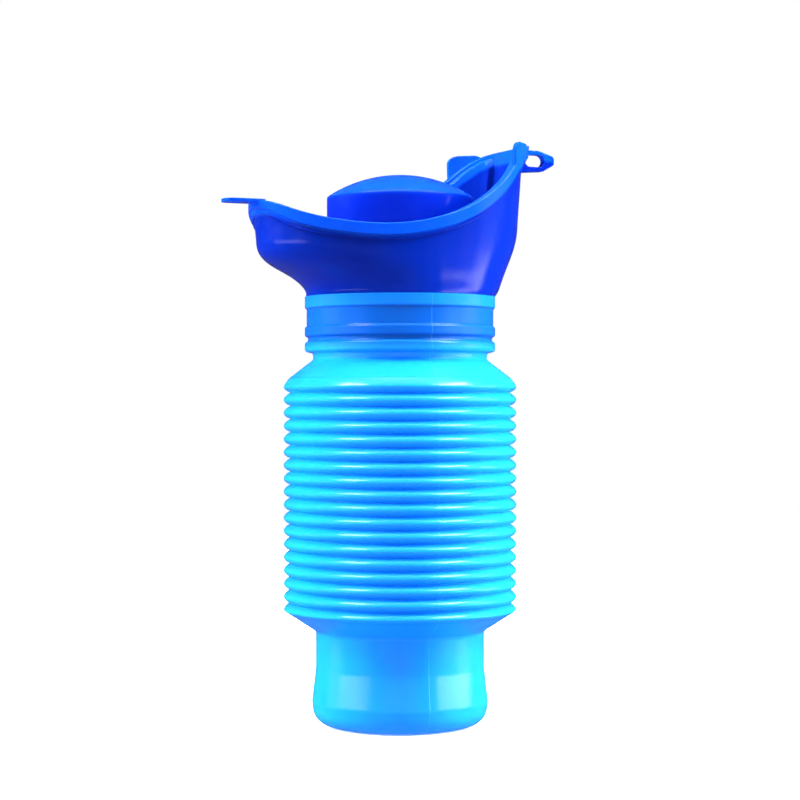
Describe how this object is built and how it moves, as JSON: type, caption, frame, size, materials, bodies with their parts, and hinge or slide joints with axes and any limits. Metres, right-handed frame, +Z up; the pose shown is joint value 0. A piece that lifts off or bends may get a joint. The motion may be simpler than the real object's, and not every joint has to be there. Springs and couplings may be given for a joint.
{
  "type": "urine bottle",
  "caption": "Collapsible urine bottle with a bellows body, a push-in scoop funnel on its neck and a domed cap that plugs the funnel's throat.",
  "frame": {"origin": "centre of the flat face that the foot rests on", "axes": "+Z up along the bottle's axis; -X towards the funnel's low lip and +X towards its high end"},
  "size_m": [0.1396, 0.0898, 0.2245],
  "materials": {
    "bottle": "smooth translucent polyethylene",
    "funnel": "glossy polypropylene",
    "cap": "glossy polypropylene",
    "seal": "soft silicone"
  },
  "bodies": {
    "bottle_base": {"bottle_foot": "bottle", "bellows": "bottle"},
    "neck": {"bottle_neck": "bottle"},
    "funnel_seal": {"funnel_seal": "seal"},
    "funnel": {"funnel": "funnel", "hang_loop": "funnel"},
    "cap_seal": {"cap_seal": "seal"},
    "cap": {"cap": "cap"}
  },
  "joints": [
    {"name": "bellows_compress", "type": "slide", "parent": "bottle_base", "child": "neck", "axis": [0, 0, -1], "range_m": [0, 0.05], "deforming": ["bellows"]},
    {"name": "funnel_lift", "type": "slide", "parent": "neck", "child": "funnel_seal", "axis": [0, 0, 1], "range_m": [0, 0.02]},
    {"name": "funnel_turn", "type": "hinge", "parent": "funnel_seal", "child": "funnel", "pos_m": [0, 0, 0.1576], "axis": [0, 0, 1], "continuous": true},
    {"name": "cap_lift", "type": "slide", "parent": "funnel", "child": "cap_seal", "axis": [0, 0, 1], "range_m": [0, 0.03]},
    {"name": "cap_turn", "type": "hinge", "parent": "cap_seal", "child": "cap", "pos_m": [0, 0, 0.1585], "axis": [0, 0, 1], "continuous": true}
  ]
}
